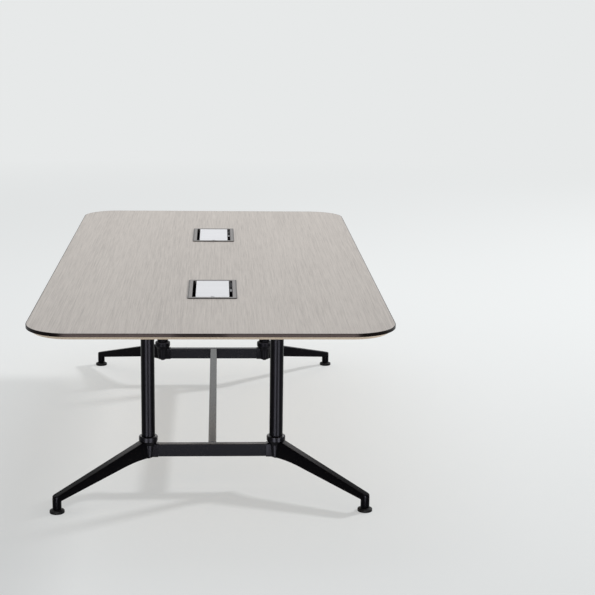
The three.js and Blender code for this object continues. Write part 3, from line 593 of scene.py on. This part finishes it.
def stemShape(at, sides=24):
    # rod with a helical thread: radius = mean + depth * triangle wave of (height / pitch - turn), then the
    # spanner hexagon, the neck and the ball
    s = footSize
    turn = fullTurn(sides)
    z = np.arange(s["hexHigh"], s["threadHigh"], s["pitch"] / s["perTurn"])
    phase = (z[:, None] / s["pitch"] - turn[None] / (2 * np.pi)) % 1
    radius = s["stem"] - s["thread"] + s["thread"] * (1 - np.abs(2 * phase - 1))
    radius = np.concatenate([radius, np.full((1, sides), s["stem"] - s["tipIn"])])
    z = np.append(z, z[-1] + s["tipUp"])
    rod = (turnedPoints(radius, z, at, turn), gridFaces(len(z), sides, caps=True))
    corners = sideCorners(0, s["hexRadius"], s["hexLow"], s["hexHigh"])
    hexagon = latheShape(softProfile(corners, s["hexEase"], 2, False), at, 6)
    ballTurn = np.linspace(-math.pi / 2, math.acos(s["neck"] / s["ball"]), 13)  # from its pole to the neck
    ball = np.c_[s["ball"] * np.cos(ballTurn), s["ballZ"] + s["ball"] * np.sin(ballTurn)]
    neckHigh = s["hexLow"] + s["neckUp"]
    ball = np.concatenate([ball, [[s["neck"], neckHigh], [0, neckHigh]]])
    return joinShapes(rod, hexagon, latheShape(ball, at, 24))


endSigns = {"front": -1, "rear": 1}
sideSigns = {"left": -1, "right": 1}
for end, endSign in endSigns.items():
    for side, sideSign in sideSigns.items():
        key = f"{end}_{side}"
        at = (sideSign * baseSize["columnX"], endSign * baseSize["columnY"])
        foot = (sideSign * baseSize["footX"], endSign * baseSize["footY"])
        away = plateSize["screwAt"]
        screws = [headShape(screwSize, (at[0] + x * away, at[1] + y * away), plateSize["low"])
                  for x in (-1, 1) for y in (-1, 1)]
        for name, shape, material, slot, node, sharp in (
                ("tube", columnShape(at), blackSteel, "black_steel", "column", 40),
                ("top_plate", headPlateShape(at), blackSteel, "black_steel", "head_plate", 40),
                ("plate_screws", joinShapes(*screws), plainSteel, "plain_steel", None, 30),
                ("cast_hub", hubShape(at, sideSign), hubCasting, "black_casting", "hub", 40),
                ("hub_bolt", headShape(boltSize, at, hubSize["low"]), blackSteel, "black_steel", None, 30),
                ("cast_leg", legShape(at, foot), blackCasting, "black_casting", "leg", 50),
                ("foot_pad", padShape(foot), nylon, "nylon", "pad", 40),
                ("threaded_stem", stemShape(foot), plainSteel, "plain_steel", "stem", 40)):
            body = f"{key}_{node}" if node in ("pad", "stem") else "frame"
            addPiece(f"{key}_{name}", shape, material, body, [f"{key}_{node}"] if node else (), sharp)
print("column bases made")

# cross rails, stretcher and its end plates: rectangular steel tube on its narrow side
railSize = {"depth": 30, "height": 48, "corner": 4, "wall": 2.5, "ease": 0.4, "middle": 136, "railEnd": 200.7,
            "stretcherEnd": 680.4, "plateFrom": 680.7, "plateTo": 684.7}
railSection = (railSize["depth"], railSize["height"], railSize["corner"])


def tubeShape(half):  # hollow tube along its own third axis, with eased ends
    wall = railSize["wall"]
    profile = softProfile([(0, -half), (0, half), (wall, half), (wall, -half)], railSize["ease"], 2)
    return ringShape(*railSection, profile, 8)


railMiddle = railSize["middle"]
endPlate = slabShape(*railSection, railSize["plateFrom"], railSize["plateTo"], railSize["ease"])
for end, endSign in endSigns.items():
    rail = placed(tubeShape(railSize["railEnd"]), (2, 0, 1), (0, endSign * baseSize["columnY"], railMiddle))
    addPiece(f"{end}_cross_tube", rail, railSteel, replaced=[f"{end}_cross_rail"])
    plate = placed(endPlate, (0, 2, 1), (0, 0, railMiddle), 0.0 if endSign > 0 else math.pi)
    addPiece(f"{end}_tube_plate", plate, railSteel, replaced=[f"stretcher_{end}_plate"])
spine = placed(tubeShape(railSize["stretcherEnd"]), (0, 2, 1), (0, 0, railMiddle))
addPiece("stretcher_tube", spine, satinSteel, replaced=["stretcher"])
print("rails made")

# power modules: frame, trim ring and hinged lid
moduleSize = {"outline": (182, 320, 8), "rim": 4.5, "opening": (149, 288, 3), "skirt": 7.5, "skirtLow": 706,
              "flangeLow": 720.3, "flangeHigh": 723.3, "land": 1.5, "sunk": 1, "cheek": 5, "cheekGap": 0.6,
              "cheekFrom": 13, "cheekDown": 8.3, "cheekUp": 2.1, "ledgeHalf": 40, "ledgeTo": 7,
              "ledgeDepth": 6, "trimHigh": 723.5, "trimLow": 722.1, "gap": 0.3, "ease": 0.3,
              "edge": ((0, 1.1), (0.15, 0.5), (0.45, 0.15), (0.9, 0), (1.1, 0))}  # edge: in and down
lidSize = {"width": 123, "freeEnd": -142, "hingeV": 138, "hingeZ": 719.3, "low": 720.3, "high": 723.3,
           "corner": 4, "notch": 9, "barrel": 4, "pin": 2, "lipWidth": 2.5, "lipDepth": 6, "lipIn": 0.7,
           "lipFrom": 8, "lipTo": 12, "lipSunk": 1, "lipEase": 0.4, "ease": 0.5,
           "edge": ((0, 0.7), (0.2, 0.2), (0.7, 0))}


def boxShape(low, high, ease=0.5):  # block with eased edges between two corners
    low, high = np.asarray(low, float), np.asarray(high, float)
    width, length = (high - low)[:2]
    slab = slabShape(width, length, ease, low[2], high[2], ease, 2, 3, 0.05)
    return placed(slab, shift=(*(low + high)[:2] / 2, 0))


def barShape(radius, half, v, z, segments, ease=0.3):  # round bar along the first axis
    profile = softProfile(sideCorners(0, radius, -half, half), ease, 2, False)
    return placed(latheShape(profile, (0, 0), segments), (2, 0, 1), (0, v, z))


def frameShape():  # flange on the table top, land for the trim, skirt in the cut-out, hinge cheeks, ledge
    s = moduleSize
    openWidth, openLength, openCorner = s["opening"]
    rim, ease, low, high = s["rim"], s["ease"], s["flangeLow"], s["flangeHigh"]
    land = high - s["land"]
    flange = [(ease, low), (0, low + ease), *[(inset, high - down) for inset, down in s["edge"]],
              (rim - ease, high), (rim, high - ease), (rim, land)]
    skirt = (openWidth + 2 * s["skirt"], openLength + 2 * s["skirt"], openCorner)
    rows = [*insetRows(s["outline"], flange), *insetRows(s["opening"], [(0, land), (0, s["skirtLow"])]),
            *insetRows(skirt, [(0, s["skirtLow"]), (0, low)])]
    hingeEnd, hingeZ = openLength / 2, lidSize["hingeZ"]
    inner = lidSize["width"] / 2 + s["cheekGap"]
    cheeks = [boxShape((left, hingeEnd - s["cheekFrom"], hingeZ - s["cheekDown"]),
                       (left + s["cheek"], hingeEnd + s["sunk"], hingeZ + s["cheekUp"]))
              for left in (inner, -inner - s["cheek"])]
    ledgeHigh = lidSize["low"] - s["gap"]
    ledge = boxShape((-s["ledgeHalf"], -hingeEnd - s["sunk"], ledgeHigh - s["ledgeDepth"]),
                     (s["ledgeHalf"], -hingeEnd + s["ledgeTo"], ledgeHigh))
    return joinShapes(rowsShape(rows, 8, True), ledge, *cheeks)


def trimShape():  # flat ring lying in the land
    s = moduleSize
    rim, low, high, ease = s["rim"] + s["gap"], s["trimLow"], s["trimHigh"], s["ease"]
    outside = [(rim, low), (rim, high - ease), (rim + ease, high), (rim + 2 * ease, high)]
    inside = [(-2 * ease, high), (-ease, high), (0, high - ease), (0, low)]
    return rowsShape(insetRows(s["outline"], outside) + insetRows(s["opening"], inside), 8, True)


def unit(vectors):  # each at length one
    return vectors / np.linalg.norm(vectors, axis=1)[:, None]


def lidShape():
    # the outline runs round the plate and into the finger notch; the profile (inset, height) eases its edges
    s = lidSize
    half, free, corner, low, high = s["width"] / 2, s["freeEnd"], s["corner"], s["low"], s["high"]
    turn = np.linspace(0, np.pi / 2, 9)
    notch = np.linspace(0, np.pi, 25)
    parts = [np.array([[half, s["hingeV"]], [-half, s["hingeV"]]]),
             np.c_[-half + corner - corner * np.cos(turn), free + corner - corner * np.sin(turn)],
             np.c_[-s["notch"] * np.cos(notch), free + s["notch"] * np.sin(notch)],
             np.c_[half - corner + corner * np.sin(turn), free + corner - corner * np.cos(turn)]]
    outline = np.concatenate(parts)
    ahead, behind = unit(np.roll(outline, -1, 0) - outline), unit(outline - np.roll(outline, 1, 0))
    normal = unit(np.c_[(ahead + behind)[:, 1], -(ahead + behind)[:, 0]])
    leaning = np.abs(normal[:, 0] * ahead[:, 1] - normal[:, 1] * ahead[:, 0])
    mitre = normal / np.maximum(leaning, 0.5)[:, None]  # longer at corners, so that the inset stays even
    profile = np.array([(s["ease"], low), (0, low + s["ease"]), *[(i, high - down) for i, down in s["edge"]]])
    flat = outline[None] - profile[:, :1, None] * mitre[None]
    plate = (raised(flat, profile[:, 1]), gridFaces(len(profile), len(outline), caps=True))
    lips = [boxShape((x, free + s["lipFrom"], low - s["lipDepth"]),
                     (x + s["lipWidth"], s["hingeV"] - s["lipTo"], low + s["lipSunk"]), s["lipEase"])
            for x in (-half + s["lipIn"], half - s["lipIn"] - s["lipWidth"])]
    return joinShapes(plate, *lips, barShape(s["barrel"], half, s["hingeV"], s["hingeZ"], 40))


# the tub and what sits in it are eased copies of their solids: node, name, material, slot and ease
tubPieces = (("tub", "steel_tub", blackSteel, "black_steel", 0.4),
             ("socket_deck", "deck", blackPlastic, "black_plastic", 0.5),
             ("socket_a", "outlet_a", blackPlastic, "black_plastic", 0.4),
             ("socket_b", "outlet_b", blackPlastic, "black_plastic", 0.4),
             ("port_bar", "bar", mattPlastic, "black_plastic", 0.5),
             ("charge_ports", "charge_insert", greyPlastic, "grey_plastic", 0.3),
             ("data_ports", "data_insert", greyPlastic, "grey_plastic", 0.3),
             ("inlet", "supply_inlet", blackPlastic, "black_plastic", 0.5))


copyLook = {"merge": 0.001, "flat": 1, "segments": 2, "angle": 40, "weld": 0.002}  # mm and degrees


def easedCopy(node, name, material, ease):
    # the solid's own mesh, merged, its flat areas joined, and its edges rounded by a bevel
    source = frame["nodes"][node]
    mesh = source.data.copy()
    mesh.name = name
    mesh.transform(source.matrix_world)
    cleanMesh(mesh, copyLook["merge"] * mm, math.radians(copyLook["flat"]))
    mesh.polygons.foreach_set("use_smooth", np.ones(len(mesh.polygons), bool))
    mesh.materials.clear()
    mesh.materials.append(material)
    piece = addObject(name, mesh)
    bevel = piece.modifiers.new("eased", "BEVEL")
    bevel.width, bevel.segments = ease * mm, copyLook["segments"]
    bevel.limit_method, bevel.angle_limit = "ANGLE", math.radians(copyLook["angle"])
    bevel.harden_normals = True
    weld = piece.modifiers.new("weld", "WELD")  # where two small roundings meet
    weld.merge_threshold = copyLook["weld"] * mm
    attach(piece, "frame")
    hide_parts(node)


# fittings in the tub: data jacks and charging shells in the port bar, contact sleeves in the sockets
fittingSize = {"barX": 68.35, "insertHigh": 720.8, "jackV": (72.5, 107.5), "jack": (7.6, 29.5, 1),
               "mouth": (6.2, 11.3, 0.7), "jackSunk": 0.1, "jackUp": 0.5, "jackEase": 0.2,
               "mouthEase": 0.3, "shellV": (-28.5, -9.5), "shell": (3.3, 9.1, 1.1), "shellLow": 715,
               "shellUp": 0.1, "shellWall": 0.3, "socketX": -22, "socketV": (-84, 0), "contactX": 9.5,
               "contactLow": 644, "contactHigh": 650.9, "contact": 2.5, "contactWall": 0.6,
               "chamfer": (0.15, 0.1)}


def jackShape(v):  # black jack body on the insert, round its mouth
    s = fittingSize
    low, high = s["insertHigh"] - s["jackSunk"], s["insertHigh"] + s["jackUp"]
    outside, inside = s["jackEase"], s["mouthEase"]
    rows = insetRows(s["jack"], [(0, low), (0, high - outside), (outside, high)])
    rows += insetRows(s["mouth"], [(-inside, high), (0, high - inside), (0, low)])
    return placed(rowsShape(rows, 4, True), shift=(s["barX"], v, 0))


def shellShape(v):  # sheet-metal shell in the mouth of a charging port
    s = fittingSize
    low, high, wall = s["shellLow"], s["insertHigh"] + s["shellUp"], s["shellWall"]
    ring = ringShape(*s["shell"], [(0, low), (0, high), (wall, high), (wall, low)], 6)
    return placed(ring, shift=(s["barX"], v, 0))


def contactShape(x, v):  # sleeve in a socket's contact hole, its rim chamfered
    s = fittingSize
    low, high, radius = s["contactLow"], s["contactHigh"], s["contact"]
    inner = radius - s["contactWall"]
    inset, down = s["chamfer"]
    profile = [(inner, low), (radius, low), (radius, high - down), (radius - inset, high), (inner, high)]
    return latheShape(profile, (s["socketX"] + x, v), 20, True)


pinHalf = lidSize["width"] / 2 + moduleSize["cheekGap"] + moduleSize["cheek"]
for end, endSign in endSigns.items():
    spot = (0, endSign * topSize["moduleY"], 0)
    pin = barShape(lidSize["pin"], pinHalf, lidSize["hingeV"], lidSize["hingeZ"], 24)
    for name, shape, material, slot, node, sharp in (
            ("unit_frame", frameShape(), darkFrame, "dark_frame", "module_surround", 30),
            ("unit_trim", trimShape(), trimMetal, "satin_aluminium", "module_trim", 30),
            ("unit_lid", lidShape(), lidMetal, "pale_aluminium", "lid", 30),
            ("hinge_pin", pin, plainSteel, "plain_steel", "lid_pin", 40)):
        body = f"{end}_lid" if node == "lid" else "frame"
        addPiece(f"{end}_{name}", placed(shape, shift=spot), material, body, [f"{end}_{node}"], sharp)
    for node, name, material, slot, ease in tubPieces:
        easedCopy(f"{end}_{node}", f"{end}_{name}", material, ease)
    jacks = [jackShape(v) for v in fittingSize["jackV"]]
    shells = [shellShape(v) for v in fittingSize["shellV"]]
    sleeves = [contactShape(side * fittingSize["contactX"], v)
               for side in (-1, 1) for v in fittingSize["socketV"]]
    for name, shapes, material, slot in (("data_jacks", jacks, mattPlastic, "black_plastic"),
                                         ("charge_shells", shells, plainSteel, "plain_steel"),
                                         ("contact_sleeves", sleeves, plainSteel, "plain_steel")):
        addPiece(f"{end}_{name}", placed(joinShapes(*shapes), shift=spot), material, sharp=30)
print("power modules made")


def seenShare(tree):  # 1 where the camera, a reflection or a clear thing looks, 0 for light that only fills
    path = addNode(tree, "LightPath")
    share = path.outputs["Is Camera Ray"]
    for ray in ("Is Glossy Ray", "Is Transmission Ray"):
        larger = addNode(tree, "Math", {"operation": "MAXIMUM"}, {0: share, 1: path.outputs[ray]})
        share = larger.outputs[0]
    return share


# pale studio floor: what the camera and reflections see is partly its own even tone, so shadows stay light,
# and far from the table it is that tone alone, like a paper sweep; from below it is clear
floorLook = {"colour": "e7e9e9", "roughness": 0.8, "half": 250.0, "own": 0.5, "fadeFrom": 2.6, "fadeTo": 9.0}


def makeFloor(look):
    material, tree, shader, coords = startMaterial("pale_floor", {
        "Base Color": linear(look["colour"]), "Roughness": look["roughness"], "Specular IOR Level": 0.0})
    reach = addNode(tree, "VectorMath", {"operation": "LENGTH"}, {0: coords})
    fade = addNode(tree, "MapRange", {
        "From Min": look["fadeFrom"], "From Max": look["fadeTo"], "To Min": look["own"]},
        {"Value": reach.outputs["Value"]})
    share = addNode(tree, "Math", {"operation": "MULTIPLY"}, {0: seenShare(tree), 1: fade.outputs[0]})
    own = addNode(tree, "Emission", {"Color": linear(look["colour"])})
    above = addNode(tree, "MixShader", links={0: share.outputs[0], 1: shader.outputs[0], 2: own.outputs[0]})
    side = addNode(tree, "NewGeometry")
    clear = addNode(tree, "BsdfTransparent")
    sided = addNode(tree, "MixShader",
                    links={0: side.outputs["Backfacing"], 1: above.outputs[0], 2: clear.outputs[0]})
    out = [node for node in tree.nodes if node.type == "OUTPUT_MATERIAL"][0]
    tree.links.new(sided.outputs[0], out.inputs["Surface"])
    return material


floorMesh = bpy.data.meshes.new("floor")
floorCorners = np.array([(-1, -1, 0), (1, -1, 0), (1, 1, 0), (-1, 1, 0)]) * floorLook["half"]
floorMesh.from_pydata(floorCorners.tolist(), [], [(0, 1, 2, 3)])
floorMesh.materials.append(makeFloor(floorLook))
floor = addObject("floor", floorMesh)

# soft studio light: a low even surround, a broad softbox above and a key from the right and slightly behind
lightLook = {"ambient": 0.46, "surround": "f2f4f6", "background": "e7e9e9"}
world = bpy.data.worlds.new("studio")
scene.world = world
world.use_nodes = True
sky = world.node_tree
sky.nodes.clear()
surround = addNode(sky, "Background", {
    "Color": linear(lightLook["surround"]), "Strength": lightLook["ambient"]})
backdrop = addNode(sky, "Background", {"Color": linear(lightLook["background"])})
both = addNode(sky, "MixShader", links={0: seenShare(sky), 1: surround.outputs[0], 2: backdrop.outputs[0]})
addNode(sky, "OutputWorld", links={0: both.outputs[0]})

lamps = [
    {"name": "key", "at": (9.6, 5.0, 6.1), "aim": (0, 0, 0.3), "size": (1.1, 1.1), "power": 1040},
    {"name": "overhead", "at": (-0.6, 1.9, 4.2), "aim": (-0.3, 1.0, 0), "size": (4.0, 4.6), "power": 64},
]
# cards under the board and before the columns, the ankles and the near edge only show as reflections, apart
# from the board card only in pieces whose names end as "shows" says; runs are (x, length, power for a metre),
# and the leg card hangs a little lower because lights in one place share their strength
cardLook = {"column": {"away": 0.15, "steps": (-0.056, 0.086), "height": 0.33, "size": (0.06, 0.64),
                       "power": {"front": 0.6, "rear": 0.12},
                       "shows": ("left_tube", "right_tube", "_cast_hub")},
            "ankle": {"away": 0.13, "steps": (0,), "height": 0.06, "size": (0.05, 0.11),
                      "power": {"front": 0.13, "rear": 0.03}, "shows": ("_cast_leg", "_foot_pad")},
            "edge": {"away": 0.1, "height": 0.689, "aim": 0.714, "tall": 0.06, "shows": ("edge_band",),
                     "runs": ((-0.335, 0.41, 1.1), (-0.04, 0.18, 0.35), (0.285, 0.47, 1.05))},
            "board": {"at": (0, 0.32, 0.688), "aim": (0, 0.32, 0), "size": (1.22, 1.36), "power": 5.4},
            "legs": {"at": (0, 0.32, 0.684), "power": 14.6, "shows": ("_cast_leg", "_cast_hub")},
            "spread": 90}
lamps.append({"name": "board_card", **cardLook["board"]})
lamps.append({**cardLook["board"], "name": "leg_card", **cardLook["legs"]})


def addCard(name, at, aim, size, power, shows):  # narrow beam, so that a card lights little beside its aim
    lamps.append({"name": name, "at": at, "aim": aim, "size": size, "power": power, "shows": shows,
                  "spread": cardLook["spread"]})


for end, endSign in endSigns.items():
    for side, sideSign in sideSigns.items():
        for name, place in (("column", "column"), ("ankle", "foot")):
            look = cardLook[name]
            x, y = sideSign * baseSize[place + "X"] * mm, endSign * baseSize[place + "Y"] * mm
            z = look["height"]
            for number, step in enumerate(look["steps"]):
                addCard(f"{end}_{side}_{name}_card_{number}", (x + step, y - look["away"], z), (x, y, z),
                        look["size"], look["power"][end], look["shows"])
look = cardLook["edge"]
nearEdge = -topSize["length"] / 2 * mm
for number, (x, length, strength) in enumerate(look["runs"]):
    addCard(f"edge_card_{number}", (x, nearEdge - look["away"], look["height"]), (x, nearEdge, look["aim"]),
            (length, look["tall"]), strength * length, look["shows"])
for lamp in lamps:
    data = bpy.data.lights.new(lamp["name"], "AREA")
    data.shape = "RECTANGLE"
    data.size, data.size_y = lamp["size"]
    data.energy = lamp["power"]
    data.spread = math.radians(lamp.get("spread", 180))
    light = addObject(lamp["name"], data)
    light.location = lamp["at"]
    light.rotation_euler = (Vector(lamp["aim"]) - Vector(lamp["at"])).to_track_quat("-Z", "Y").to_euler()
    light.visible_camera = False
    light.visible_diffuse = "_card" not in lamp["name"]
    if "shows" in lamp:
        shown = bpy.data.collections.new(lamp["name"])
        for piece in scene.collection.objects:
            if piece.name.endswith(lamp["shows"]):
                shown.objects.link(piece)
        light.light_linking.receiver_collection = shown
print("floor and lights made")

# camera: place in mm, angles in radians, focal length in pixels of a frame so many pixels wide
cameraLook = {"at": (21.35, -5828.52, 1873.87), "pitch": 0.2212, "yaw": 0.0565, "roll": 0.0143,
              "focal": 1435.71, "frame": 595, "sensor": 36, "clipEnd": 500}
pitch, yaw, roll = (cameraLook[key] for key in ("pitch", "yaw", "roll"))
ahead = np.array([math.sin(yaw) * math.cos(pitch), math.cos(yaw) * math.cos(pitch), -math.sin(pitch)])
level = np.array([math.cos(yaw), -math.sin(yaw), 0])
upright = np.cross(level, ahead)
right = math.cos(roll) * level + math.sin(roll) * upright
up = math.cos(roll) * upright - math.sin(roll) * level
cameraData = bpy.data.cameras.new("camera")
cameraData.sensor_width = cameraLook["sensor"]
cameraData.lens = cameraLook["focal"] * cameraLook["sensor"] / cameraLook["frame"]
cameraData.clip_end = cameraLook["clipEnd"]
camera = addObject("camera", cameraData)
camera.matrix_world = Matrix(np.c_[right, up, -ahead].tolist()).to_4x4()
camera.location = [v * mm for v in cameraLook["at"]]
scene.camera = camera
scene.view_settings.view_transform = "Standard"

print("scene ready")
